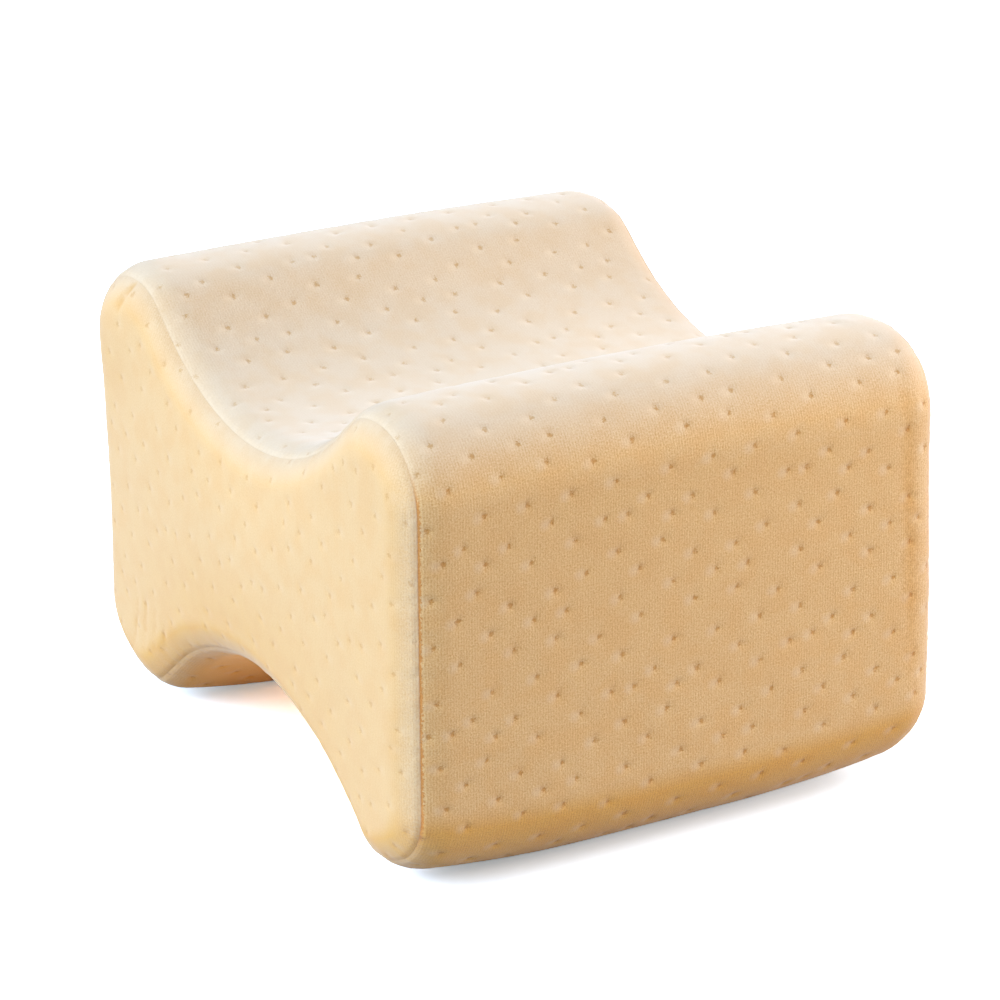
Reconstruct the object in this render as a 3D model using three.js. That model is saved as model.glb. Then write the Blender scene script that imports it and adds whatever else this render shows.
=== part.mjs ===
// A contoured leg pillow of moulded foam in a velour cover, standing on its two feet.
// Seen from either end it is an hourglass on its side: two tall lobes, with a shallow saddle between them
// above and an arch below. The cover is cut as three pieces: one long band that wraps the whole outline,
// and an end panel of the outline's own shape sewn into each end of it.
// Millimetres, +Z up. X runs along the saddle and Y across both lobes, from the front face at -Y.
// The origin is on the floor, under the middle.
import * as THREE from "three";

// Driving dimensions
const LENGTH = 210; // X, end panel to end panel
const WIDTH = 240; // Y, front face to back face
const HEIGHT = 165; // Z, floor to crest

// How the tight cover rounds and draws the foam
const EDGE_RADIUS = 16; // the rounded rim at each end
const END_CROWN = 2; // how far an end panel swells past that rim's plane
const CREST_DROP = 1.7; // how much lower the crests are at the ends than in the middle
const FOOT_RISE = 6.2; // how far the feet curl up off the floor at the ends
const FOOT_PRESS = 1.2; // how much of each round foot the pillow's weight flattens
const FACE_DRAW = { middle: 2.3, crest: 0.9 }; // how far front and back are drawn in, halfway along
const FRONT_SPREAD = 1.5; // how much further out each end stands at the front face than at the centre

// The outline's upper and lower halves. The crest and the middle of the saddle are level,
// and the flank between them is tangent to both arcs.
const UPPER = {
  reach: HEIGHT / 2, outerRadius: 29, crestFlat: 2.5, innerRadius: 29, saddleDepth: 35.5, saddleRadius: 97,
};
const LOWER = {
  reach: HEIGHT / 2 + FOOT_PRESS, outerRadius: 31, crestFlat: 2.5, innerRadius: 17, saddleDepth: 39.8,
  saddleRadius: 92,
};

// The sewn pieces
const CLOTH = 3; // thickness of an end panel, with its seam allowance
const SEAM_ANGLE = THREE.MathUtils.degToRad(40); // where on the rounded rim the seam runs
const SEAM_DIP = 1.2; // how deep the stitches pull the surface in
const SEAM_REACH = THREE.MathUtils.degToRad(14); // how far from the stitches that pull is felt
const GAP = 0.3; // clearance between neighbouring pieces

// Fineness of the facets
const STEPS = { face: 3, corner: 6, crest: 1, shoulder: 4, flank: 2, saddle: 5, band: 10, rim: 3 };
const BAND_RIM = [0, 0.35, 0.7, 0.85, 1]; // the band's loops on the rim, as shares of the seam's angle

const HALF = { length: LENGTH / 2, width: WIDTH / 2, height: HEIGHT / 2 };
const RIM_CENTRE = HALF.length - END_CROWN - EDGE_RADIUS; // |x| of the rounded rim's centre line
const QUARTER = STEPS.face + STEPS.corner + STEPS.crest + STEPS.shoulder + STEPS.flank + STEPS.saddle;
const AROUND = 4 * QUARTER; // points in one loop of the outline

// Points of an arc, from one angle to another, both ends included.
function arcPoints(centre, radius, from, to, steps) {
  return Array.from({ length: steps + 1 }, (_, i) => {
    const angle = from + ((to - from) * i) / steps;
    return new THREE.Vector2(centre.x + radius * Math.cos(angle), centre.y + radius * Math.sin(angle));
  });
}

// Points strictly between two others on a straight line.
function pointsBetween(from, to, steps) {
  return Array.from({ length: steps - 1 }, (_, i) => from.clone().lerp(to, (i + 1) / steps));
}

// One quarter of the outline, from the middle of the outer face over the lobe to the middle of the saddle.
// Vector2 x is the object's Y, and y is the height above mid-height.
function quarterOutline({ reach, outerRadius, crestFlat, innerRadius, saddleDepth, saddleRadius }) {
  const faceMiddle = new THREE.Vector2(HALF.width, 0);
  const outerCentre = new THREE.Vector2(HALF.width - outerRadius, reach - outerRadius);
  const innerCentre = new THREE.Vector2(outerCentre.x - crestFlat, reach - innerRadius);
  const saddleCentre = new THREE.Vector2(0, reach - saddleDepth + saddleRadius);
  const across = saddleCentre.clone().sub(innerCentre);
  const tilt = across.angle() - Math.acos((innerRadius + saddleRadius) / across.length());
  const corner = arcPoints(outerCentre, outerRadius, 0, Math.PI / 2, STEPS.corner);
  const shoulder = arcPoints(innerCentre, innerRadius, Math.PI / 2, tilt, STEPS.shoulder);
  const saddle = arcPoints(saddleCentre, saddleRadius, tilt - Math.PI, -Math.PI / 2, STEPS.saddle);
  const face = [faceMiddle, ...pointsBetween(faceMiddle, corner[0], STEPS.face)];
  const flank = pointsBetween(shoulder.at(-1), saddle[0], STEPS.flank);
  return [...face, ...corner, ...shoulder, ...flank, ...saddle];
}

// The whole outline, anticlockwise seen from +X, from the middle of the arch: points and outward normals.
function wholeOutline() {
  const upper = quarterOutline(UPPER);
  const lower = quarterOutline(LOWER).map((point) => new THREE.Vector2(point.x, -point.y));
  const back = [...lower.reverse(), ...upper.slice(1)];
  const front = back.slice(1, -1).reverse().map((point) => new THREE.Vector2(-point.x, point.y));
  const points = [...back, ...front];
  return points.map((point, i) => {
    const along = points[(i + 1) % AROUND].clone().sub(points.at(i - 1)).normalize();
    return { point, normal: new THREE.Vector2(along.y, -along.x) };
  });
}

const OUTLINE = wholeOutline();

// The outline set in by inset and placed at x, with the crown, curl and draw that the cover gives it there.
function loop({ x, inset }) {
  const t = Math.abs(x) / HALF.length;
  const crest = 1 - (CREST_DROP / HALF.height) * t ** 2;
  const foot = 1 - (FOOT_RISE / HALF.height) * t ** 3;
  return OUTLINE.map(({ point, normal }) => {
    const y = point.x - normal.x * inset;
    const z = point.y - normal.y * inset;
    const level = Math.max(0, 1 - (z / HALF.height) ** 2);
    const draw = FACE_DRAW.crest + (FACE_DRAW.middle - FACE_DRAW.crest) * level;
    const drawnY = y * (1 - (draw / HALF.width) * (1 - t ** 2));
    const spreadX = x * (1 - (FRONT_SPREAD / HALF.length) * (y / HALF.width));
    const crownedZ = Math.max(z * (z > 0 ? crest : foot), -HALF.height);
    return new THREE.Vector3(spreadX, drawnY, HALF.height + crownedZ);
  });
}

// A closed skin through loops that go from -X to +X, shut at each end by a grid crowned along X.
function skin(loops, firstCrown, lastCrown) {
  const points = loops.flat();
  const triangles = [];
  for (let first = 0; first < (loops.length - 1) * AROUND; first += AROUND) {
    for (let i = 0; i < AROUND; i++) {
      const a = first + i;
      const b = first + ((i + 1) % AROUND);
      triangles.push([a, b, b + AROUND], [a, b + AROUND, a + AROUND]);
    }
  }
  const lastLoop = (loops.length - 1) * AROUND;
  triangles.push(...endGrid(points, 0, firstCrown).map((corners) => corners.reverse()));
  triangles.push(...endGrid(points, lastLoop, lastCrown));
  const geometry = new THREE.BufferGeometry().setFromPoints(points);
  geometry.setIndex(triangles.flat());
  geometry.computeVertexNormals();
  return geometry;
}

// A grid inside the loop that starts at index start, facing +X. Its columns join the lower half of the
// outline to the upper half, and its first and last columns are the back and front faces.
function endGrid(points, start, crown) {
  const rows = 2 * STEPS.face;
  const columns = 2 * (QUARTER - STEPS.face);
  const onLoop = (i) => start + ((i + AROUND) % AROUND);
  const halfWidth = points[onLoop(QUARTER)].y;
  const grid = [];
  for (let column = 0; column <= columns; column++) {
    const low = onLoop(QUARTER - STEPS.face - column);
    const high = onLoop(QUARTER + STEPS.face + column);
    grid.push([low]);
    for (let row = 1; row < rows; row++) {
      if (column === 0) {
        grid[column].push(onLoop(QUARTER - STEPS.face + row));
      } else if (column === columns) {
        grid[column].push(onLoop(3 * QUARTER + STEPS.face - row));
      } else {
        const share = row / rows;
        const point = points[low].clone().lerp(points[high], share);
        point.x += crown * 4 * share * (1 - share) * (1 - (point.y / halfWidth) ** 2);
        grid[column].push(points.push(point) - 1);
      }
    }
    grid[column].push(high);
  }
  const triangles = [];
  for (let column = 0; column < columns; column++) {
    for (let row = 0; row < rows; row++) {
      const [a, b] = [grid[column][row], grid[column][row + 1]];
      const [c, d] = [grid[column + 1][row + 1], grid[column + 1][row]];
      triangles.push([a, b, c], [a, c, d]);
    }
  }
  return triangles;
}

// A place on the rounded rim of the +X end: angle 0 is on the band, a right angle on the end face.
function onRim(angle, depth) {
  const radius = EDGE_RADIUS - depth;
  return { x: RIM_CENTRE + radius * Math.sin(angle), inset: EDGE_RADIUS - radius * Math.cos(angle) };
}

// How far the stitches pull the outer surface in, at an angle on the rim.
function seamPull(angle) {
  return SEAM_DIP * (1 - THREE.MathUtils.smoothstep(Math.abs(angle - SEAM_ANGLE), 0, SEAM_REACH));
}

// Places on the rim from an angle on to the end face, at the depth that depthAt gives for each.
function rimToFace(firstAngle, depthAt) {
  return Array.from({ length: STEPS.rim + 1 }, (_, i) => {
    const angle = THREE.MathUtils.lerp(firstAngle, Math.PI / 2, i / STEPS.rim);
    return onRim(angle, depthAt(angle));
  });
}

const mirrored = (places) => places.map(({ x, inset }) => ({ x: -x, inset })).reverse();

// The filled body: foam in its long band, with a shallow seat at each end for the end panel.
function bodyGeometry() {
  const bandRim = BAND_RIM.map((share) => onRim(share * SEAM_ANGLE, seamPull(share * SEAM_ANGLE)));
  const seat = rimToFace(SEAM_ANGLE, () => CLOTH + GAP);
  const end = [...bandRim, ...seat];
  const middle = Array.from({ length: STEPS.band - 1 }, (_, i) => ({
    x: THREE.MathUtils.lerp(-RIM_CENTRE, RIM_CENTRE, (i + 1) / STEPS.band),
    inset: 0,
  }));
  return skin([...mirrored(end), ...middle, ...end].map(loop), -END_CROWN, END_CROWN);
}

// One end panel: a sheet of cloth over the rim and the end face, from its stitches inwards.
function panelGeometry(side) {
  const firstAngle = SEAM_ANGLE + GAP / (EDGE_RADIUS - CLOTH);
  const inside = rimToFace(firstAngle, () => CLOTH);
  const outside = rimToFace(firstAngle, seamPull);
  const places = [...inside.reverse(), ...outside];
  return skin((side > 0 ? places : mirrored(places)).map(loop), side * END_CROWN, side * END_CROWN);
}

function piece(name, geometry, color) {
  const velour = new THREE.MeshStandardMaterial({ color, roughness: 0.95, metalness: 0 });
  const mesh = new THREE.Mesh(geometry, velour);
  mesh.name = name;
  return mesh;
}

const pillow = new THREE.Group();
pillow.add(
  piece("filled_body_with_band", bodyGeometry(), 0xddba8c),
  piece("end_panel_left", panelGeometry(-1), 0xf9dfbd),
  piece("end_panel_right", panelGeometry(1), 0xf9dfbd),
);

export default pillow;
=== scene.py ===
# %% [markdown]
# # A contoured knee pillow in knitted velour
#
# The real object is one block of moulded foam in a tight cover. The cover is cut from a knitted velour
# with small embossed tufts, and sewn from a long band and two end panels. This lesson builds the cover
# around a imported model, the frame, which gives the true place and size of every piece.
#
# The frame comes first, because each piece below is measured against it.

# %% Load the frame
import math

import bpy
import numpy as np
from mathutils import Matrix, Vector, noise
from mathutils.geometry import delaunay_2d_cdt


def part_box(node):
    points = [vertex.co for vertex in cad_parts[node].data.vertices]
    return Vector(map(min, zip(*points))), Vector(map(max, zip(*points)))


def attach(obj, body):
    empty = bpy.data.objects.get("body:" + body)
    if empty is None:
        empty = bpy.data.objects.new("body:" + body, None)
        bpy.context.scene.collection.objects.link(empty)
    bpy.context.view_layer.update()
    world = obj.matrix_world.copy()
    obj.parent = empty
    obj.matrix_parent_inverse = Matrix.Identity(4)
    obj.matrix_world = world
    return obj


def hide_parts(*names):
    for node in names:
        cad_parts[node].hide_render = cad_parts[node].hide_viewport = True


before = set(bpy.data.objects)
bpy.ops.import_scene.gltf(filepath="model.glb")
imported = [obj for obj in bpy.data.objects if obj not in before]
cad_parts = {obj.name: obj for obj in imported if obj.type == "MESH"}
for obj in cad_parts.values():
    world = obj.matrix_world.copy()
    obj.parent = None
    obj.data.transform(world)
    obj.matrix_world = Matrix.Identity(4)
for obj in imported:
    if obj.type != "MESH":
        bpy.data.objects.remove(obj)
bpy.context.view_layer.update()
print("nodes in the frame:", sorted(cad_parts))

# %% [markdown]
# ## Sizes
#
# The sizes are in millimetres, because a cutter and a sewer think in them, and Blender's metres come at
# the very end. The height is read from the frame, and the radii are those of the foam mould.

# %% Sizes of the block and its cover
MM = 0.001
floor_corner, crest_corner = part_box("filled_body_with_band")
HEIGHT = (crest_corner.z - floor_corner.z) / MM
LENGTH = 210.0  # along the saddle, end panel to end panel
WIDTH = 240.0  # across both lobes
HALF_LENGTH, HALF_WIDTH, HALF_HEIGHT = LENGTH / 2, WIDTH / 2, HEIGHT / 2

EDGE_RADIUS = 16.0  # rounded rim at each end
END_CROWN = 2.0  # swell of an end panel
CREST_DROP = 1.7  # crests are lower at the ends
FOOT_RISE = 8.2  # feet curl up at the ends
FOOT_PRESS = 1.2  # flattened by the weight
DRAW_MIDDLE, DRAW_CREST = 2.3, 0.9  # front and back drawn in, halfway along
FRONT_SPREAD = 1.5  # ends stand further out at the front
SEAM_ANGLE = math.radians(40)  # where on the rim the seam runs
CLOTH = 3.0  # an end panel with its seam allowance
GAP = 0.02  # between the two cloths in the seam

# Where the cover pulls the foam a little out of its plain form: how far, and over which spans of X, Y and
# Z, with Z measured from mid-height.
TOE_LIFT, TOE_Y, TOE_Z = 1.9, (82, 104), (-HALF_HEIGHT, -20)  # outer edges of the feet, clear of the table
RIGHT_LEAN, LEAN_X, LEAN_Z = 1.8, (20, HALF_LENGTH), (-20, 50)  # the right end leans in towards its top
BACK_HOLLOW, HOLLOW_Y, HOLLOW_Z = 2.2, (80, 118), (-22, 34)  # back drawn in at the ends; middle, reach
BACK_RISE, RISE_Y = 2.2, (0, 80)  # the back foot curls up more than the front one
INSTEP_LIFT, INSTEP_Y, INSTEP_Z = 2.4, (30, 60, 74, 94), (-HALF_HEIGHT, -25)  # front foot's inner edge
TIP_PUSH, TIP_Y, TIP_Z, TIP_REACH = 1.4, 102, 58, 18  # the end panels bulge at the tip of the back lobe

# The outline's upper and lower halves: reach from mid-height, radii, flat crest and depth of the hollow.
UPPER = dict(reach=HALF_HEIGHT, outer=29.0, flat=2.5, inner=29.0, depth=35.5, saddle=97.0)
LOWER = dict(reach=HALF_HEIGHT + FOOT_PRESS, outer=31.0, flat=2.5, inner=17.0, depth=39.8, saddle=92.0)

RIM_CENTRE = HALF_LENGTH - END_CROWN - EDGE_RADIUS
print(f"pillow {LENGTH:.0f} x {WIDTH:.0f} x {HEIGHT:.0f} mm, rim centre at {RIM_CENTRE:.0f} mm")

# %% [markdown]
# ## The camera
#
# The camera stands about 1.4 m away with a long lens, a little above the pillow and to its left, so
# that the front and the left end both show. It comes early, so that every later cell can be rendered.

# %% Place the camera
AZIMUTH, ELEVATION, ROLL = math.radians(-30.22), math.radians(20.16), math.radians(-0.36)
CAMERA_PLACE = Vector((-669.1, -1146.5, 574.4))  # mm
SENSOR, LENS = 36.0, 145.79  # mm


def camera_turn():
    """The camera's rotation: it looks along minus Z of its own axes, with Y up and a slight roll."""
    level_back = Vector((math.sin(AZIMUTH), -math.cos(AZIMUTH), 0))
    back = level_back * math.cos(ELEVATION) + Vector((0, 0, math.sin(ELEVATION)))
    right = Vector((math.cos(AZIMUTH), math.sin(AZIMUTH), 0))
    level = Matrix((right, back.cross(right), back))
    return (Matrix.Rotation(-ROLL, 3, "Z") @ level).transposed()


camera_data = bpy.data.cameras.new("camera")
camera_data.sensor_width, camera_data.lens = SENSOR, LENS
camera = bpy.data.objects.new("camera", camera_data)
camera.matrix_world = Matrix.Translation(CAMERA_PLACE * MM) @ camera_turn().to_4x4()
bpy.context.scene.collection.objects.link(camera)
bpy.context.scene.camera = camera
print(f"camera {CAMERA_PLACE.length * MM:.2f} m away, {LENS} mm lens")

# %% [markdown]
# ## The outline
#
# Seen from an end the pillow is an hourglass on its side. It could be drawn as a Bezier curve, but arcs
# and their common tangents are how the mould is dimensioned, so the outline is worked out from them.
# It is sampled every half millimetre, and tables by arc length then give any point and its normal.

# %% Draw the outline from arcs
SAMPLE = 0.5


def arc(centre, radius, start, end):
    angles = np.linspace(start, end, max(2, round(abs(end - start) * radius / SAMPLE)) + 1)
    return np.stack([centre[0] + radius * np.cos(angles), centre[1] + radius * np.sin(angles)], 1)


def quarter(reach, outer, flat, inner, depth, saddle):
    """From the middle of the outer face, over the lobe, to the middle of the saddle."""
    outer_centre = np.array([HALF_WIDTH - outer, reach - outer])
    inner_centre = np.array([outer_centre[0] - flat, reach - inner])
    saddle_centre = np.array([0.0, reach - depth + saddle])
    across = saddle_centre - inner_centre
    tilt = math.atan2(across[1], across[0]) - math.acos((inner + saddle) / np.hypot(*across))
    return np.concatenate([
        [[HALF_WIDTH, 0.0]],
        arc(outer_centre, outer, 0, math.pi / 2),
        arc(inner_centre, inner, math.pi / 2, tilt),
        arc(saddle_centre, saddle, tilt - math.pi, -math.pi / 2),
    ])


def whole_outline():
    """Distances, points and outward normals, anticlockwise seen from +X, from the middle of the arch."""
    lower = quarter(**LOWER) * [1, -1]
    back = np.concatenate([lower[::-1], quarter(**UPPER)[1:]])
    front = back[-2:0:-1] * [-1, 1]
    corners = np.concatenate([back, front, back[:1]])
    run = np.concatenate([[0], np.cumsum(np.hypot(*np.diff(corners, axis=0).T))])
    even = np.linspace(0, run[-1], round(run[-1] / SAMPLE) + 1)
    points = np.stack([np.interp(even, run, corners[:, i]) for i in (0, 1)], 1)
    along = np.roll(points[:-1], -1, 0) - np.roll(points[:-1], 1, 0)
    along /= np.hypot(*along.T)[:, None]
    normals = np.stack([along[:, 1], -along[:, 0]], 1)
    return even, points, np.concatenate([normals, normals[:1]])


RUN, OUTLINE, OUTWARD = whole_outline()
AROUND = RUN[-1]
FRONT_MIDDLE = AROUND - np.interp(0, OUTLINE[:len(RUN) // 2, 1], RUN[:len(RUN) // 2])
print(f"the band's cut is {AROUND:.0f} mm long, and the front's middle is at {FRONT_MIDDLE:.0f} mm")

# %% [markdown]
# ## From flat cloth to the stuffed form
#
# Each piece of cloth is laid out flat first, where the tufts keep their spacing, and is then wrapped.
# The band's flat coordinates are the distances across it and around the outline. An end panel's are the
# outline's own, with the rounded rim laid flat around it. A tight cover also draws its foam: the crests
# drop and the feet curl up towards the ends, and front and back are drawn in between them.

# %% Wrap flat cloth
BAND_HALF = RIM_CENTRE + EDGE_RADIUS * SEAM_ANGLE  # half the band's width, seam to seam
PANEL_START = SEAM_ANGLE + GAP / EDGE_RADIUS  # where on the rim a panel begins
PANEL_INSET = EDGE_RADIUS * (1 - math.pi / 2 + PANEL_START)  # and how far inside the outline, laid flat
PORTION = 4000  # points at a time


def smooth(values, low, high):
    t = np.clip((values - low) / (high - low), 0, 1)
    return t * t * (3 - 2 * t)


def stuffed(x, y, z):
    """The form that the tight cover gives to a point of the plain block, in mm above mid-height."""
    t = np.abs(x) / HALF_LENGTH
    crest = 1 - CREST_DROP / HALF_HEIGHT * t**2
    foot = 1 - (FOOT_RISE + BACK_RISE * smooth(y, *RISE_Y)) / HALF_HEIGHT * t**3
    level = np.maximum(0, 1 - (z / HALF_HEIGHT) ** 2)
    draw = DRAW_CREST + (DRAW_MIDDLE - DRAW_CREST) * level
    drawn_y = y * (1 - draw / HALF_WIDTH * (1 - t**2))
    spread_x = x * (1 - FRONT_SPREAD / HALF_LENGTH * y / HALF_WIDTH)
    crowned_z = np.maximum(z * np.where(z > 0, crest, foot), -HALF_HEIGHT)

    crowned_z += TOE_LIFT * smooth(np.abs(y), *TOE_Y) * (1 - smooth(z, *TOE_Z))
    instep = smooth(-y, *INSTEP_Y[:2]) * (1 - smooth(-y, *INSTEP_Y[2:])) * (1 - smooth(z, *INSTEP_Z)) * t**3
    crowned_z += INSTEP_LIFT * instep
    drawn_y -= INSTEP_LIFT / 2 * instep
    drawn_y -= BACK_HOLLOW * np.exp(-(((z - HOLLOW_Z[0]) / HOLLOW_Z[1]) ** 2)) * smooth(y, *HOLLOW_Y) * t**2
    tip = np.exp(-(((y - TIP_Y) ** 2 + (z - TIP_Z) ** 2) / TIP_REACH**2)) * t**2
    spread_x += np.sign(x) * TIP_PUSH * tip - RIGHT_LEAN * smooth(z, *LEAN_Z) * smooth(x, *LEAN_X)
    return np.stack([spread_x, drawn_y, HALF_HEIGHT + crowned_z], 1)


def on_outline(run, inset):
    """Points a distance round the outline, set in by inset."""
    along = np.mod(run, AROUND)
    point, normal = (
        np.stack([np.interp(along, RUN, values[:, i]) for i in (0, 1)], 1) for values in (OUTLINE, OUTWARD)
    )
    return point - normal * np.reshape(inset, (-1, 1))


def on_rim(run, angle, depth):
    """Distance out along X and the outline's own coordinates, for an angle and a depth on the rim."""
    radius = EDGE_RADIUS - depth
    return RIM_CENTRE + radius * np.sin(angle), on_outline(run, EDGE_RADIUS - radius * np.cos(angle))


def band_form(flat, depth):
    """flat holds the distances across and around, and depth is how far below the cover's plain form."""
    across = np.abs(flat[:, 0])
    angle = np.clip((across - RIM_CENTRE) / EDGE_RADIUS, 0, SEAM_ANGLE)
    x, place = on_rim(flat[:, 1], angle, depth)
    return stuffed(np.sign(flat[:, 0]) * (x - np.maximum(0, RIM_CENTRE - across)), *place.T)


def nearest(points, centres):
    """The nearest centre of each point, and how far away it is. Taken in portions, to spare memory."""
    best, gap = np.empty(len(points), int), np.empty(len(points))
    for start in range(0, len(points), PORTION):
        portion = slice(start, start + PORTION)
        square = ((points[portion, None] - centres[None]) ** 2).sum(2)
        best[portion] = square.argmin(1)
        gap[portion] = np.sqrt(square.min(1))
    return best, gap


def from_outline(flat):
    """How far round the outline each flat panel point lies, and how far inside it."""
    best, _ = nearest(flat, OUTLINE[:-1])
    offset = OUTLINE[best] - flat
    forward = np.stack([-OUTWARD[best, 1], OUTWARD[best, 0]], 1)
    return RUN[best] - (offset * forward).sum(1), (offset * OUTWARD[best]).sum(1)


def crown(flat):
    """How far the end face swells: nothing at its rim and most in the middle."""
    ring = OUTLINE - OUTWARD * EDGE_RADIUS
    halves = (half[half[:, 0].argsort()] for half in (ring[ring[:, 1] < 0], ring[ring[:, 1] > 0]))
    low, high = (np.interp(flat[:, 0], *half.T) for half in halves)
    share = np.clip((flat[:, 1] - low) / (high - low), 0, 1)
    return END_CROWN * 4 * share * (1 - share) * np.clip(1 - (flat[:, 0] / ring[:, 0].max()) ** 2, 0, 1)


def panel_form(flat, depth, side):
    """flat holds Y and the height above mid-height, with the rim laid flat around them."""
    run, inset = from_outline(flat)
    angle = np.maximum(PANEL_START, math.pi / 2 - np.maximum(0, EDGE_RADIUS - inset) / EDGE_RADIUS)
    x, place = on_rim(run, angle, depth)
    on_face = inset >= EDGE_RADIUS
    place = np.where(on_face[:, None], flat, place)
    return stuffed(side * (x + np.where(on_face, crown(flat), 0)), *place.T)


print(f"flat band {AROUND:.0f} x {2 * BAND_HALF:.0f} mm, panels {PANEL_INSET:.1f} mm inside the outline")

# %% [markdown]
# ## Where the tufts lie
#
# The knitting machine repeats one scatter of tufts over the whole cloth, and the cloth is laid a little
# askew when it is cut. A knitter would chart the repeat, so here it is a chart too, one letter for each
# 4 mm square. The chart is laid over the flat cloth again and again, with small seeded shifts for the
# play in the yarn.

# %% Chart the tufts and lay them over the cloth
CHART = """
    o.......o........
    ....o............
    ............o...o
    .........o.......
    ..o...o.......o..
    .................
    o...o..o....o....
    .................
    ..o...o.......o..
    ..........o......
    .................
    o...o...o...o....
    .................
    ......o........o.
    ..o........o.o...
""".split()
CHART_SQUARE = 4.03  # a repeat is 68.5 x 60.5 mm
CLOTH_SKEW = math.radians(-2.8)
TUFT_PLAY = 0.6


def lay_tufts(low, high, shift, rng):
    """Tuft centres over the rectangle from low to high of the flat cloth, in millimetres."""
    cells = np.array([(x, y) for y, line in enumerate(CHART) for x, mark in enumerate(line) if mark == "o"])
    repeat = np.array([len(CHART[0]), len(CHART)])
    reach = int(np.hypot(*(np.array(high) - low)) / (CHART_SQUARE * repeat.min())) + 2
    moves = np.array([(i, j) for i in range(-reach, reach) for j in range(-reach, reach)])
    places = (cells[None] + moves[:, None] * repeat).reshape(-1, 2) * CHART_SQUARE
    c, s = math.cos(CLOTH_SKEW), math.sin(CLOTH_SKEW)
    places = places @ np.array([[c, s], [-s, c]]) + shift
    places += rng.uniform(-TUFT_PLAY, TUFT_PLAY, places.shape)
    return places[((places > low) & (places < high)).all(1)]


print("tufts in one repeat:", sum(line.count("o") for line in CHART))

# %% [markdown]
# ## A net of points that is fine where the cloth has detail
#
# A tuft is only 3 mm wide on a block of 240 mm. An even grid that shows it would need millions of
# triangles, and a subdivided one has its edges in the wrong places. So the flat cloth is covered with a
# coarse net, with rings of points round every tuft and close rows along the seam, and a Delaunay
# triangulation joins them.

# %% Lay out the net
NET = 2.8  # mm between the points of the coarse net
TUFT_RINGS = [(0.6, 6), (1.2, 9), (1.8, 12), (2.5, 14), (3.4, 15)]  # radius in mm, points
TUFT_REACH = TUFT_RINGS[-1][0]
TUFT_CLEAR = TUFT_REACH + 0.4 * NET  # the coarse net stays this far from a tuft's middle
SEAM_ROWS = [0.5, 1.0, 1.6, 2.4, 3.4]  # mm from the stitches
SEAM_CLEAR = SEAM_ROWS[-1] + 0.5  # and everything else this far from the stitches
TURNED_IN = 2.1  # the cloth past the stitches, folded into the pillow
SEAM_SPACING = 1.0  # mm along the stitches
SNAP = 1e-6  # points closer than this are one


def even_net(low, high, step):
    columns, rows = np.arange(low[0], high[0], step), np.arange(low[1], high[1], step * math.sqrt(3) / 2)
    across, up = np.meshgrid(columns, rows)
    across = across + step / 2 * (np.arange(len(rows)) % 2)[:, None]
    return np.stack([across.ravel(), up.ravel()], 1)


def rings(tufts, rng):
    parts = [tufts]
    for radius, count in TUFT_RINGS:
        angles = rng.uniform(0, 6, (len(tufts), 1)) + np.linspace(0, 2 * math.pi, count, endpoint=False)
        ring = radius * np.stack([np.cos(angles), np.sin(angles)], 2)
        parts.append((tufts[:, None] + ring).reshape(-1, 2))
    return np.concatenate(parts)


def net_points(low, high, tufts, seam_distance, rng):
    """The coarse net and the tuft rings, kept clear of each other and of the seam's own rows."""
    coarse = even_net(low, high, NET)
    coarse = coarse[nearest(coarse, tufts)[1] > TUFT_CLEAR]
    fine = np.concatenate([coarse, rings(tufts, rng)])
    return fine[seam_distance(fine) > SEAM_CLEAR]


def triangulate(points, outline=None):
    """Triangles between flat points, and only inside the outline where one is given as point numbers."""
    edges = [] if outline is None else list(zip(outline.tolist(), np.roll(outline, -1).tolist()))
    kind = 0 if outline is None else 1  # all triangles, or those inside the edges
    placed, _, faces, *_ = delaunay_2d_cdt([Vector(p) for p in points], edges, [], kind, SNAP)
    if len(placed) != len(points):
        raise ValueError("two points of the net fell together")
    return np.array(faces)


# %% [markdown]
# ## The relief of sewn velour
#
# On the real cover each tuft is a knot of pulled-in loops: a small pit in a wider, shallow bowl, about
# half a millimetre deep in all and never quite round. The stitches draw both cloths into a groove, a
# little deeper at every stitch, with a soft lip and puckers beside it. Sculpting would make this too, but
# as a depth below the smooth form it can be measured, and it moves the same points on every run.

# %% Shape the relief
TUFT_PIT, PIT_EDGE = 0.18, (0.2, 1.9)  # depth, and where the pit's side starts and ends, in mm
TUFT_BOWL, BOWL_EDGE = 0.26, (0.8, TUFT_REACH)
OVAL, THREE_SIDED = 0.16, 0.12  # how far a tuft is from round
TUFT_STRENGTH = (0.7, 1.15)  # no two tufts are pulled in alike
STITCH = 3.0  # mm
SEAM_DIP, DIP_WIDTH = 0.17, 0.8  # depth and width of the groove
SEAM_LIP, LIP_PLACE, LIP_WIDTH = 0.2, 1.9, 1.0  # height, distance from the stitches and width
PUCKER, PUCKER_LENGTH, PUCKER_REACH = 0.22, 4.5, 5.0  # depth, length along the seam and reach from it
NOISE_LEVEL = 1.6  # brings the noise to between about -1 and 1
SOFTNESS, SOFT_LENGTH = 0.16, 28.0  # foam is never quite even


def waves(points, length, seed):
    """Soft noise between about -1 and 1, with the given distance between its hills."""
    padded = np.concatenate([points / length, np.zeros((len(points), 3 - points.shape[1]))], 1)
    return NOISE_LEVEL * np.array([noise.noise(Vector(p)) for p in padded + seed])


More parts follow.
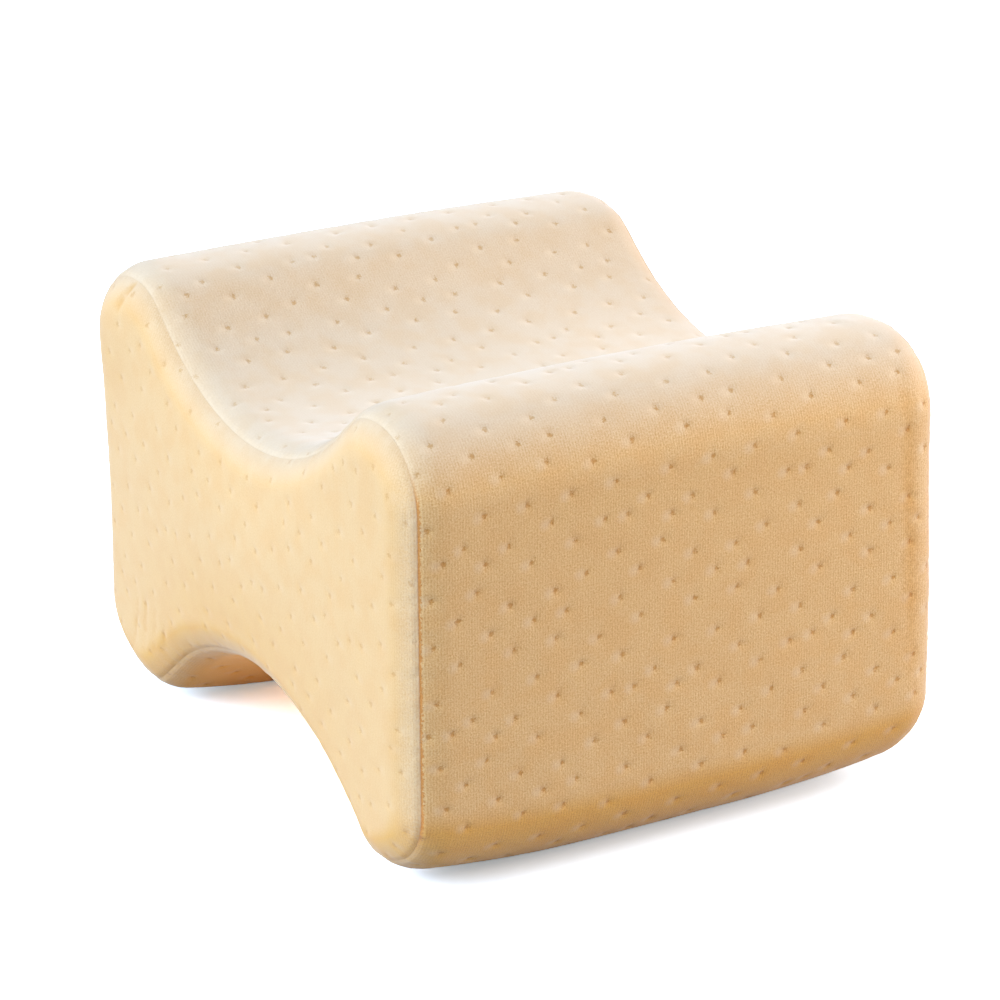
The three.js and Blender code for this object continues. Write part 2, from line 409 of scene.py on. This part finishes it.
def tuft_relief(flat, tufts, rng):
    best, gap = nearest(flat, tufts)
    strength = rng.uniform(*TUFT_STRENGTH, len(tufts))[best]
    turn = rng.uniform(0, 2 * math.pi, (len(tufts), 2))[best]
    offset = flat - tufts[best]
    angle = np.arctan2(offset[:, 1], offset[:, 0])
    uneven = 1 + OVAL * np.cos(2 * angle + turn[:, 0]) + THREE_SIDED * np.cos(3 * angle + turn[:, 1])
    pit = TUFT_PIT * (1 - smooth(gap * uneven, *PIT_EDGE))
    bowl = TUFT_BOWL * (1 - smooth(gap * uneven, *BOWL_EDGE))
    return strength * (pit + bowl)


def seam_relief(distance, along):
    """Groove, lip and puckers near the stitches, then the turned-in edge."""
    away = np.maximum(0, distance)
    pinch = 0.5 + 0.5 * np.cos(2 * math.pi * along / STITCH)
    groove = SEAM_DIP * (0.75 + 0.35 * pinch) * np.exp(-away / DIP_WIDTH)
    lip = SEAM_LIP * (1 - 0.5 * pinch) * np.exp(-((away - LIP_PLACE) / LIP_WIDTH) ** 2)
    drawn_out = np.stack([along, away / 3], 1)  # puckers run away from the stitches
    pucker = PUCKER * waves(drawn_out, PUCKER_LENGTH, 2.0) * np.exp(-away / PUCKER_REACH)
    return groove - lip + pucker * smooth(away, 0, 1) + np.maximum(0, -distance)


def crease_relief(flat, creases):
    """Soft furrows, each from one flat point to another, with its depth and half width."""
    depth = np.zeros(len(flat))
    for start, end, deep, half_width in creases:
        line = np.array(end, float) - start
        share = np.clip(((flat - start) @ line) / (line @ line), 0, 1)
        away = np.hypot(*(flat - start - share[:, None] * line).T)
        tapered = deep * np.sqrt(np.clip(4 * share * (1 - share), 0, 1))
        depth += tapered * np.exp(-((away / half_width) ** 2))
    return depth


def relief(flat, form, tufts, tuft_depth, seam_distance, along, creased, rng):
    """The depth of every point of a flat piece below its smooth form."""
    depth = tuft_depth * tuft_relief(flat, tufts, rng) * smooth(seam_distance, 0, 4)
    depth += seam_relief(seam_distance, along) + creased
    soft = waves(form(flat, depth), SOFT_LENGTH, 5.0)
    return depth + SOFTNESS * soft * smooth(seam_distance, 0, 8)


print(f"tufts: a pit {TUFT_PIT} mm deep in a bowl {TUFT_BOWL} mm deep. Stitches: {STITCH} mm long")

# %% [markdown]
# ## From points to a piece
#
# Each piece becomes one closed mesh: the velour outside, its turned-in edge, and a coarse inner face that
# nobody sees. Four vectors go with every corner of it, for the material: where it lies on the flat cloth
# and how deep a gather is there, where it lies from the nearest tuft, where it lies from the stitches, and
# which way the smooth form faces. Corners carry them, and not points, because they jump where the band's
# two ends meet and halfway between tufts. The stitches are a sharp edge, or the shading of the cloth
# outside would blend into that of the turned-in cloth.

# %% Make a mesh that knows its cloth
INNER_NET = 14.0  # mm
INNER_CLEAR = EDGE_RADIUS / 2  # the inner net stays this far inside the outline
SAME_PLACE = 1e-4
FAR = 50.0  # for corners that don't show: far from any tuft or stitch


def inner_face(ring, side, depth):
    """Points in mm for a coarse net inside a ring of flat panel points, and its triangles, facing +X."""
    coarse = even_net(ring.min(0), ring.max(0), INNER_NET)
    coarse = coarse[from_outline(coarse)[1] > INNER_CLEAR]
    triangles = triangulate(np.concatenate([ring, coarse]), np.arange(len(ring)))
    return panel_form(coarse, np.full(len(coarse), depth), side), triangles


def close(points, triangles, ring, ring_flat, side, depth, outward):
    """Adds an inner face to a piece, on the ring of point numbers at its turned-in edge."""
    inside, inner = inner_face(ring_flat, side, depth)
    number = np.concatenate([ring, len(points) + np.arange(len(inside))])
    inner = number[inner] if (side > 0) == outward else number[inner][:, ::-1]
    return np.concatenate([points, inside]), np.concatenate([triangles, inner])


def form_normals(form, flat, step=2.5):
    """Outward normals of the smooth form. The step is wide enough to leave the turned-in edge."""
    still = np.zeros(len(flat))
    across, up = (form(flat + move, still) - form(flat - move, still) for move in ([step, 0], [0, step]))
    normals = np.cross(across, up)
    normals /= np.linalg.norm(normals, axis=1)[:, None]
    outward = ((form(flat, still) - [0, 0, HALF_HEIGHT]) * normals).sum(1) > 0
    return np.where(outward[:, None], normals, -normals)


def make_piece(name, points, triangles, corners, tufts, rng):
    """corners holds cloth, crease, seam and normal for each corner of the first triangles. The rest of
    the triangles don't show."""
    mesh = bpy.data.meshes.new(name)
    mesh.from_pydata((points * MM).tolist(), [], triangles.tolist())
    mesh.shade_smooth()
    best = nearest(corners["cloth"].mean(1), tufts)[0]
    seeds = np.broadcast_to(rng.uniform(0, 40, len(tufts))[best][:, None, None], (len(best), 3, 1))
    places = {
        "cloth_place": np.concatenate([corners["cloth"], corners["crease"][..., None]], 2),
        "from_tuft": np.concatenate([corners["cloth"] - tufts[best][:, None], seeds], 2),
        "from_seam": corners["seam"],
        "cover_normal": corners["normal"],
    }
    for label, values in places.items():
        hidden = np.full((len(triangles) - len(values), 3, 3), FAR)
        layer = mesh.attributes.new(label, "FLOAT_VECTOR", "CORNER")
        layer.data.foreach_set("vector", np.concatenate([values, hidden]).astype(np.float32).ravel())
    on_seam = np.abs(corners["seam"][..., 0]) < SAME_PLACE
    on_stitches = np.unique(triangles[:len(on_seam)][on_seam])
    edges = np.empty(2 * len(mesh.edges), int)
    mesh.edges.foreach_get("vertices", edges)
    sharp = np.isin(edges.reshape(-1, 2), on_stitches).all(1)
    mesh.attributes.new("sharp_edge", "BOOLEAN", "EDGE").data.foreach_set("value", sharp)
    piece = bpy.data.objects.new(name, mesh)
    bpy.context.scene.collection.objects.link(piece)
    print(f"{name}: {len(points):,} points, {len(triangles):,} triangles, {len(tufts)} tufts")
    return piece


# %% [markdown]
# ## The band
#
# The band is one strip that goes all round the outline, over both lobes and under both feet, and is
# sewn to itself in the middle of the arch, where nobody looks. Its net is laid on the flat strip, wrapped
# round the outline and welded there. The foam's end faces close it behind the panels.

# %% Cut, net and wrap the band
BAND_TUFT_SHIFT = (0.0, FRONT_MIDDLE + HALF_HEIGHT)  # where the chart starts, across and around
BAND_TUFT_DEPTH = 1.0
BAND_CREASES = [  # start and end, each across and around in mm, then depth and half width
    ((86, 528), (90, 650), 0.5, 3.5),  # pulled in beside the right seam
    ((0, 560), (7, 567), 0.25, 0.9),  # a fold mark in the pile
    ((-97.2, 648), (-96.4, 664), -0.35, 1.2),  # gathered ridge over the front foot
    ((77, 498), (85, 506), -0.5, 2.6),  # the seam allowance under the right corner
]


END_CLEAR = 0.6 * NET  # the net stays this far from the strip's own ends
FOAM_DEPTH = CLOTH + 0.6  # the foam's end face, below the cover's plain form


def to_band_seam(flat):
    return BAND_HALF - np.abs(flat[:, 0])


def band_edge_rows():
    """Close rows along both seams, the turned-in edges first, and a column at each end of the strip."""
    along = np.linspace(0, AROUND, round(AROUND / SEAM_SPACING) + 1)
    away = [-TURNED_IN, -TURNED_IN / 2, 0, *SEAM_ROWS]
    rows = [
        np.stack([np.full(len(along), side * (BAND_HALF - d)), along], 1) for d in away for side in (-1, 1)
    ]
    reach = BAND_HALF - SEAM_ROWS[-1]
    inner = np.linspace(-reach, reach, round(2 * BAND_HALF / NET))[1:-1]
    columns = [np.stack([inner, np.full(len(inner), end)], 1) for end in (0, AROUND)]
    return np.concatenate(rows + columns)


def weld_ends(flat):
    """The points that stay once the strip's far end is sewn to its start, and each point's new number."""
    start, end = (np.flatnonzero(np.abs(flat[:, 1] - place) < SAME_PLACE) for place in (0, AROUND))
    start, end = start[flat[start, 0].argsort()], end[flat[end, 0].argsort()]
    stays = np.setdiff1d(np.arange(len(flat)), end)
    number = np.empty(len(flat), int)
    number[stays] = np.arange(len(stays))
    number[end] = number[start]
    return flat[stays], number


def make_band(rng):
    low, high = (-BAND_HALF, 0.0), (BAND_HALF, AROUND)
    clear = TUFT_REACH + NET
    tufts = lay_tufts(low, high, BAND_TUFT_SHIFT, rng)
    tufts = tufts[(tufts[:, 1] > clear) & (tufts[:, 1] < AROUND - clear)]
    fine = net_points(low, high, tufts, to_band_seam, rng)
    fine = fine[(fine[:, 1] > END_CLEAR) & (fine[:, 1] < AROUND - END_CLEAR)]
    flat = np.concatenate([band_edge_rows(), fine])
    triangles = triangulate(flat)[:, ::-1]
    corner_cloth = flat[triangles]
    flat, number = weld_ends(flat)
    triangles = number[triangles]
    creased = crease_relief(flat, BAND_CREASES)
    depth = relief(
        flat, band_form, tufts, BAND_TUFT_DEPTH, to_band_seam(flat), flat[:, 1], creased, rng,
    )
    points = band_form(flat, depth)
    for side in (-1, 1):
        ring = np.flatnonzero(np.abs(flat[:, 0] - side * (BAND_HALF + TURNED_IN)) < SAME_PLACE)
        ring = ring[flat[ring, 1].argsort()]
        ring_flat = on_outline(flat[ring, 1], PANEL_INSET)
        points, triangles = close(points, triangles, ring, ring_flat, side, FOAM_DEPTH, outward=True)
    seam = BAND_HALF - np.abs(corner_cloth[..., 0])
    outer = triangles[:len(corner_cloth)]
    corners = {
        "cloth": corner_cloth, "crease": creased[outer],
        "seam": np.stack([seam, corner_cloth[..., 1], np.zeros(seam.shape)], 2),
        "normal": form_normals(band_form, flat)[outer],
    }
    return make_piece("velour_band", points, triangles, corners, tufts, rng)


band = make_band(np.random.default_rng(11))

# %% [markdown]
# ## The end panels
#
# An end panel is the outline's own shape, cut a little smaller because the stitches run on the rounded
# rim. It has a curved edge on all sides, so its net is triangulated inside that edge only.

# %% Cut, net and wrap the end panels
PANEL_TUFT_SHIFT = {-1: (4.0, 2.0), 1: (20.0, 9.0)}  # where the chart starts on each end
PANEL_TUFT_DEPTH = 0.4  # an end face stretches its cloth, and the tufts flatten
PANEL_CREASES = [  # start and end in the outline's own mm, then depth and half width
    ((86, 80), (94, 66), 0.8, 1.7), ((72, 83), (66, 76), 0.7, 1.5),  # gathers at the tip of the back lobe
    ((91, -70), (84, -42), 0.4, 1.5), ((83, -69), (77, -40), 0.4, 1.6),  # streaks above the back foot
    ((75, -66), (70, -42), 0.35, 1.5), ((68, -63), (63, -46), 0.3, 1.4),
]


def to_panel_seam(flat):
    return from_outline(flat)[1] - PANEL_INSET


def panel_edge_rows():
    along = np.linspace(0, AROUND, round(AROUND / SEAM_SPACING), endpoint=False)
    away = [-TURNED_IN, -TURNED_IN / 2, 0, *SEAM_ROWS]
    return np.concatenate([on_outline(along, PANEL_INSET + d) for d in away]), len(along)


def make_panel(name, side, rng):
    edge, count = panel_edge_rows()
    ring = np.arange(count)
    low, high = edge.min(0), edge.max(0)
    tufts = lay_tufts(low, high, PANEL_TUFT_SHIFT[side], rng)
    tufts = tufts[to_panel_seam(tufts) > 1]
    flat = np.concatenate([edge, net_points(low, high, tufts, to_panel_seam, rng)])
    triangles = triangulate(flat, ring)
    run, inset = from_outline(flat)

    def form(flat, depth):
        return panel_form(flat, depth, side)

    creased = crease_relief(flat, PANEL_CREASES)
    depth = relief(flat, form, tufts, PANEL_TUFT_DEPTH, inset - PANEL_INSET, run, creased, rng)
    triangles = triangles if side > 0 else triangles[:, ::-1]
    corner_cloth = flat[triangles]
    points, triangles = close(form(flat, depth), triangles, ring, flat[ring], side, CLOTH, outward=False)
    outer = triangles[:len(corner_cloth)]
    corners = {
        "cloth": corner_cloth, "crease": creased[outer],
        "seam": np.stack([inset - PANEL_INSET, run, np.ones(len(run))], 1)[outer],
        "normal": form_normals(form, flat)[outer],
    }
    return make_piece(name, points, triangles, corners, tufts, rng)


left_panel = make_panel("velour_end_panel_left", -1, np.random.default_rng(12))
right_panel = make_panel("velour_end_panel_right", 1, np.random.default_rng(13))

# %% [markdown]
# ## Nodes and colours
#
# Every material below is a small network of nodes. One helper adds a node with its settings and links,
# and one turns the sRGB colours that people write into the linear ones that Blender calculates with.

# %% Helpers for materials
def linear(hex_colour):
    """#rrggbb as linear red, green, blue and an alpha of 1."""
    shares = [int(hex_colour[i:i + 2], 16) / 255 for i in (1, 3, 5)]
    return (*[s / 12.92 if s <= 0.04045 else ((s + 0.055) / 1.055) ** 2.4 for s in shares], 1.0)


def add(tree, kind, inputs=(), get=None, **settings):
    """Adds a node with its settings. The inputs are values or other nodes' outputs, by name or in the
    node's own order. Returns the node, or the output that get names."""
    made = tree.nodes.new("ShaderNode" + kind)
    made.location = (180 * len(tree.nodes), 0)
    for name, value in settings.items():
        setattr(made, name, value)
    for name, value in inputs.items() if isinstance(inputs, dict) else enumerate(inputs):
        if isinstance(value, bpy.types.NodeSocket):
            tree.links.new(value, made.inputs[name])
        else:
            made.inputs[name].default_value = value
    return made.outputs[get] if get else made


def new_material(name):
    material = bpy.data.materials.new(name)
    material.use_nodes = True
    material.node_tree.nodes.clear()
    return material, material.node_tree


print("linear #808080:", [round(v, 3) for v in linear("#808080")])

# %% [markdown]
# ## Knitted polyester velour
#
# Velour is a knit whose loops are cut to a short pile. It is matt, and on the upright faces it is a warm
# straw. On the top its colour is painted paler, as painted sheen where the light falls, and below it is
# painted deeper and more orange, as painted shade and warm bounced light. At a glancing angle the fibre
# ends catch the light as well, and that is the shader's sheen. So the colour is mixed from three, by how
# far the smooth form faces up, and every change is a soft one.

# %% The velour's colours and scales
VELOUR = "#e3bd87"  # pile lying flat, on upright faces
VELOUR_TOP_PAINTED_SHEEN = "#cebda7"  # painted sheen: paler on the top, where the light falls
VELOUR_BELOW_PAINTED_SHADE_AND_BOUNCE = "#e8b35c"  # painted shade and warm bounced light: deeper and more orange below
BLOTCH_TINT = "#fef9f1"  # multiplies the pile's colour where the dye took less well
WALE = 1.0  # mm from one wale to the next
CLUMP = 0.6  # mm, clumps of fibre: drawn coarser than real fibre, which wouldn't show
BLOTCH = 11.0  # mm, uneven dye
GRAIN_COLOUR = (1.0, 1.65, 2.6)  # the gaps between clumps are redder, so blue and green vary more


def pile_and_painted_light(tree, facing, place):
    """The pile's colour with painted light but without tufts and seams, the height of its grain, and how
    much of it shows.
    """
    up = facing.outputs["Z"]
    sideways = add(tree, "Math", [facing.outputs["Y"]], "Value", operation="ABSOLUTE")
    # On front and back the pile lies against the light, and its clumps and wales show most.
    shows = add(tree, "MapRange", [sideways, 0.2, 0.9, 0.25, 1.0], "Result")
    on_top = add(tree, "MapRange", [up, 0.3, 0.9, 1.0, 0.5], "Result")  # half as much on the top
    # A wave texture of scale 1 repeats 10 / pi times per unit.
    wales = add(tree, "TexWave", {
        "Vector": place, "Scale": math.pi / 10 / WALE,
        "Distortion": 4.0, "Detail": 2.0, "Detail Scale": 2.5,
    }, "Fac", wave_type="BANDS", bands_direction="X")
    clumps = add(tree, "TexNoise", {
        "Vector": place, "Scale": 1 / CLUMP, "Detail": 3.0, "Roughness": 0.75,
    }, "Fac")
    grain = add(tree, "Math", [wales, 0.1, clumps], "Value", operation="MULTIPLY_ADD")
    grain = add(tree, "Math", [grain, 0.55], "Value", operation="SUBTRACT")
    for share in (shows, on_top):
        grain = add(tree, "Math", [grain, share], "Value", operation="MULTIPLY")

    blotches = add(tree, "TexNoise", {"Vector": place, "Scale": 1 / BLOTCH, "Detail": 2.0}, "Fac")
    stray = add(tree, "MapRange", [blotches, 0.3, 0.7, -0.01, 0.01], "Result")
    raised = add(tree, "MapRange", [up, -1, 1, 0, 1], "Result")
    painted_light_level = add(tree, "Math", [raised, stray], "Value", operation="ADD")
    # The ramp paints light: paler on the top as painted sheen, deeper and more orange below as painted
    # shade and warm bounced light.
    dye_and_painted_light = add(tree, "ValToRGB", [painted_light_level])
    stops = dye_and_painted_light.color_ramp.elements
    stops[0].position, stops[0].color = 0.38, linear(VELOUR_BELOW_PAINTED_SHADE_AND_BOUNCE)
    stops[1].position, stops[1].color = 0.93, linear(VELOUR_TOP_PAINTED_SHEEN)
    for position in (0.5, 0.62):
        stops.new(position).color = linear(VELOUR)
    tint = add(tree, "MapRange", [blotches, 0.42, 0.62, 0, 1], "Result")
    dyed_and_painted_light = add(tree, "Mix", {
        "Factor": tint, "A": dye_and_painted_light.outputs["Color"], "B": linear(BLOTCH_TINT),
    }, "Result", data_type="RGBA", blend_type="MULTIPLY")
    shade = add(tree, "VectorMath", [grain, GRAIN_COLOUR, (1, 1, 1)], "Vector", operation="MULTIPLY_ADD")
    pile = add(tree, "VectorMath", [dyed_and_painted_light, shade], "Vector", operation="MULTIPLY")
    height = add(tree, "Math", [wales, 0.2, clumps], "Value", operation="MULTIPLY_ADD")
    return pile, height, shows


print(f"wales every {WALE} mm, clumps of {CLUMP} mm, blotches of {BLOTCH} mm")

# %% [markdown]
# ## Tufts in the velour
#
# In a tuft the pile is pulled under, and the darker ground of the knit shows in a few short strokes. It
# could be a printed dot, but strokes that differ from tuft to tuft look sewn. They come from noise cut off
# at a level that rises away from the tuft's middle. A pale patch beside each tuft, always on the same side
# in the flat cloth, is a painted sheen highlight. Where the cloth is gathered, painted shade makes it a
# little deeper in colour.

# %% Tufts and gathers
TUFT_GROUND = "#e0c694"  # multiplies the pile's colour, like the next
GATHER_SHADE = "#f0d9a4"
TUFT_PAINTED_SHEEN = "#f0dfc6"
PAINTED_SHEEN_SIDE = (2.5, -0.3, 0)  # mm from the middle of the painted sheen to the tuft's


def mark_tufts(tree, pile, shows, from_tuft, crease):
    """The pile's colour with tufts, their painted sheen and the painted shade of gathers, and where bare
    ground shows.
    """
    apart = add(tree, "SeparateXYZ", [from_tuft])
    flat_place = add(tree, "CombineXYZ", [apart.outputs["X"], apart.outputs["Y"]], "Vector")
    from_middle = add(tree, "VectorMath", [flat_place], "Value", operation="LENGTH")
    strokes = add(tree, "TexNoise", {
        "Vector": from_tuft, "Scale": 1.3, "Detail": 2.0, "Roughness": 0.7, "Distortion": 0.6,
    }, "Fac")
    # Mostly bare within 0.3 mm of the middle, and never beyond 2.3 mm.
    rise = add(tree, "MapRange", [from_middle, 0.3, 2.3, 0.22, -0.32], "Result")
    level = add(tree, "Math", [strokes, rise], "Value", operation="ADD")
    bare = add(tree, "MapRange", [level, 0.48, 0.68, 0, 1], "Result", interpolation_type="SMOOTHSTEP")
    clearness = add(tree, "MapRange", [shows, 0.25, 1, 0.45, 0.9], "Result")
    bare = add(tree, "Math", [bare, clearness], "Value", operation="MULTIPLY")
    pile = add(tree, "Mix", {
        "Factor": bare, "A": pile, "B": linear(TUFT_GROUND),
    }, "Result", data_type="RGBA", blend_type="MULTIPLY")

    # A painted sheen highlight, always on the same side of each tuft in the flat cloth.
    to_painted_sheen = add(tree, "VectorMath", [flat_place, PAINTED_SHEEN_SIDE], "Vector", operation="ADD")
    from_painted_sheen = add(tree, "VectorMath", [to_painted_sheen], "Value", operation="LENGTH")
    painted_sheen = add(tree, "MapRange", [from_painted_sheen, 0.4, 2.8, 0.24, 0], "Result")
    painted_sheen = add(tree, "Math", [painted_sheen, shows], "Value", operation="MULTIPLY")
    pile = add(tree, "Mix", {"Factor": painted_sheen, "A": pile, "B": linear(TUFT_PAINTED_SHEEN)}, "Result", data_type="RGBA")

    # Painted shade in the gathers and creases, by their depth.
    gathered = add(tree, "MapRange", [crease, 0.1, 0.8, 0, 1], "Result")
    return add(tree, "Mix", {
        "Factor": gathered, "A": pile, "B": linear(GATHER_SHADE),
    }, "Result", data_type="RGBA", blend_type="MULTIPLY"), bare


print("tuft ground:", [round(v, 3) for v in linear(TUFT_GROUND)[:3]])

# %% [markdown]
# ## The pile beside the stitches
#
# A seam in velour is seldom a drawn line. On top it is only a change from one cloth to the other, with a
# pale lip, which is a painted highlight. On the upright edges the band's own side turns into the groove,
# where painted shade makes an uneven, orange-brown line, and the panel's side has a pale, painted
# highlight. Noise along the seam makes both uneven, as fingers and needles do.

# %% Seam
SEAM_SHADE = "#e8c496"  # multiplies the pile's colour
# painted highlight: the pale lips beside the stitches
LIP_PAINTED_HIGHLIGHT = "#f3dfc2"


def mark_seams(tree, pile, up, from_seam):
    """The pile's colour with the painted shade of the groove and the painted highlight of the lips beside
    it.
    """
    seam = add(tree, "SeparateXYZ", [from_seam])
    away, on_panel = seam.outputs["X"], seam.outputs["Z"]
    on_band = add(tree, "Math", [1.0, on_panel], "Value", operation="SUBTRACT")
    ruffle = add(tree, "TexNoise", {
        "Vector": from_seam, "Scale": 0.9, "Detail": 2.0, "Roughness": 0.7,
    }, "Fac")
    steep = add(tree, "Math", [up], "Value", operation="ABSOLUTE")
    upright = add(tree, "MapRange", [steep, 0.15, 0.55, 1, 0], "Result")

    # The shaded line is 0.4 to 1.4 mm wide on the band, and 0.3 of that on the panel.
    width = add(tree, "MapRange", [ruffle, 0.35, 0.65, 0.4, 1.4], "Result")
    width = add(tree, "Math", [
        width, add(tree, "MapRange", [on_band, 0, 1, 0.3, 1], "Result"),
    ], "Value", operation="MULTIPLY")
    shaded = add(tree, "Math", [away, width], "Value", operation="LESS_THAN")
    shaded = add(tree, "Math", [shaded, upright], "Value", operation="MULTIPLY")
    pile = add(tree, "Mix", {
        "Factor": shaded, "A": pile, "B": linear(SEAM_SHADE),
    }, "Result", data_type="RGBA", blend_type="MULTIPLY")

    # The lip's painted highlight fades over 9 mm.
    ruffled_highlight = add(tree, "Math", [
        add(tree, "MapRange", [away, 0.5, 9.0, 1, 0], "Result"),
        add(tree, "MapRange", [ruffle, 0.35, 0.65, 0.25, 0.6], "Result"),
    ], "Value", operation="MULTIPLY")
    panel_lip = add(tree, "Math", [on_panel, upright], "Value", operation="MULTIPLY")
    top_lip = add(tree, "MapRange", [upright, 0, 1, 0.45, 0], "Result")
    lip = add(tree, "Math", [on_band, top_lip, panel_lip], "Value", operation="MULTIPLY_ADD")
    ruffled_highlight = add(tree, "Math", [ruffled_highlight, lip], "Value", operation="MULTIPLY")
    return add(tree, "Mix", {
        "Factor": ruffled_highlight, "A": pile, "B": linear(LIP_PAINTED_HIGHLIGHT),
    }, "Result", data_type="RGBA")


# The pale lips' colour is a painted highlight.
print("ruffled pile:", [round(v, 3) for v in linear(LIP_PAINTED_HIGHLIGHT)[:3]])

# %% [markdown]
# ## The velour's shader
#
# Polyester has an IOR near 1.5, but a pile has no smooth skin. So the roughness is 0.95 with a weak
# highlight, which the eye reads as dry and soft, and a sheen gives the pale glow where the cloth turns
# away. The bump adds the finest grain, which is too small to net.

# %% Make the velour
SHEEN = "#e7e6eb"


def velour():
    material, tree = new_material("knitted_polyester_velour")
    place, from_tuft, from_seam, cover_normal = (
        add(tree, "Attribute", (), "Vector", attribute_name=name)
        for name in ("cloth_place", "from_tuft", "from_seam", "cover_normal")
    )
    facing = add(tree, "SeparateXYZ", [cover_normal])
    crease = add(tree, "SeparateXYZ", [place], "Z")
    pile, height, shows = pile_and_painted_light(tree, facing, place)
    pile, bare = mark_tufts(tree, pile, shows, from_tuft, crease)
    pile = mark_seams(tree, pile, facing.outputs["Z"], from_seam)
    height = add(tree, "Math", [bare, -0.5, height], "Value", operation="MULTIPLY_ADD")
    height = add(tree, "Math", [height, shows], "Value", operation="MULTIPLY")
    normal = add(tree, "Bump", {"Height": height, "Strength": 0.6, "Distance": 0.3 * MM}, "Normal")
    shader = add(tree, "BsdfPrincipled", {
        "Base Color": pile, "Normal": normal, "Roughness": 0.95, "IOR": 1.5, "Specular IOR Level": 0.2,
        "Sheen Weight": 0.6, "Sheen Roughness": 0.5, "Sheen Tint": linear(SHEEN),
    }, "BSDF")
    add(tree, "OutputMaterial", {"Surface": shader})
    return material


VELOUR_MATERIAL = velour()
print("nodes in the velour:", len(VELOUR_MATERIAL.node_tree.nodes))

# %% [markdown]
# ## Dress the frame
#
# Each sewn piece stands for one part of the frame, which it hides, hangs on the root body and takes the
# velour. It is tight, because foam fills it completely.

# %% Fit the pieces to the frame
for piece, node in (
    (band, "filled_body_with_band"), (left_panel, "end_panel_left"), (right_panel, "end_panel_right"),
):
    piece.data.materials.append(VELOUR_MATERIAL)
    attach(piece, "root")
    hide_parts(node)
    print(piece.name, "stands for", node)

# %% [markdown]
# ## The studio
#
# A product photograph like this is taken on a white table under big soft lights. Five wide suns stand for
# them: from the left, a bluish window, the back, the top and the right. A soft box near the front falls
# off along the pillow, and a small warm card under the arch stands for the light that cloth and table pass
# on to each other there. The board and the sky are brighter to the camera than to the pillow, because a
# photographer exposes the ground to white.

# %% Light the studio
FLOOR_HALF = 6.0  # metres, like every length in this cell
SUN_WIDTH = math.radians(40)
BOARD = "#aaaaaa"  # what the board gives back to the pillow
BOARD_SEEN = (1.35, 1.55, 1.85, 1.0)  # what the camera sees of it: more than white, and a little blue
SHADOW_TONE = "#8b9294"  # the least that the camera sees of the board, in the deepest shadow


def make_floor():
    mesh = bpy.data.meshes.new("floor")
    corners = [(-1, -1), (1, -1), (1, 1), (-1, 1)]
    mesh.from_pydata([(FLOOR_HALF * x, FLOOR_HALF * y, 0) for x, y in corners], [], [(0, 1, 2, 3)])
    floor = bpy.data.objects.new("floor", mesh)
    bpy.context.scene.collection.objects.link(floor)
    material, tree = new_material("matt_white_board")
    to_camera = add(tree, "LightPath", get="Is Camera Ray")
    colour = add(tree, "Mix", {
        "Factor": to_camera, "A": linear(BOARD), "B": BOARD_SEEN,
    }, "Result", data_type="RGBA")
    board = add(tree, "BsdfDiffuse", {"Color": colour}, "BSDF")
    lifted = add(tree, "Emission", {"Color": linear(SHADOW_TONE), "Strength": to_camera}, "Emission")
    shader = add(tree, "AddShader", [board, lifted], "Shader")
    add(tree, "OutputMaterial", {"Surface": shader})
    mesh.materials.append(material)


def make_sun(name, direction, strength, colour="#ffffff"):
    light = bpy.data.lights.new(name, "SUN")
    light.energy, light.angle, light.color = strength, SUN_WIDTH, linear(colour)[:3]
    sun = bpy.data.objects.new(name, light)
    sun.rotation_euler = Vector(direction).to_track_quat("Z", "Y").to_euler()
    bpy.context.scene.collection.objects.link(sun)


def make_soft_box(name, place, power, size, colour, towards=(0, 0, 0)):
    """A lamp near the pillow, so that its light falls off along it."""
    light = bpy.data.lights.new(name, "AREA")
    light.shape, light.energy, light.color = "RECTANGLE", power, linear(colour)[:3]
    light.size, light.size_y = size
    lamp = bpy.data.objects.new(name, light)
    turn = (Vector(place) - Vector(towards)).to_track_quat("Z", "Y").to_matrix().to_4x4()
    lamp.matrix_world = Matrix.Translation(place) @ turn
    lamp.visible_camera = False
    bpy.context.scene.collection.objects.link(lamp)


def make_sky(seen, strength):
    """A white backdrop for the camera, which lights the pillow much less than it shows."""
    world = bpy.data.worlds.new("white_sky")
    world.use_nodes = True
    tree = world.node_tree
    tree.nodes["Background"].inputs["Color"].default_value = linear("#ffffff")
    to_camera = add(tree, "LightPath", get="Is Camera Ray")
    level = add(tree, "MapRange", [to_camera, 0, 1, strength, seen], "Result")
    tree.links.new(level, tree.nodes["Background"].inputs["Strength"])
    bpy.context.scene.world = world


make_floor()
make_sun("left_light", (-0.55, -0.35, 0.76), 1.7)
make_sun("window_light", (-0.85, 0.3, 0.4), 2.94, "#d2e9ff")
make_sun("back_light", (-0.5, 0.6, 0.62), 0.88, "#e3f1ff")
make_sun("top_light", (0, 0, 1), 0.78)
make_sun("right_light", (0.95, 0.1, 0.3), 2.45)
make_soft_box("front_box", (0.55, -0.65, 0.3), 3.25, (0.3, 0.3), "#ffefe4")
make_soft_box(
    "card_in_the_arch", (0.02, -0.02, 0.004), 0.15, (0.14, 0.06), "#ffe9c4", towards=(0.02, -0.02, 1),
)
make_sky(seen=1.0, strength=0.02)
bpy.context.scene.view_settings.view_transform = "Standard"
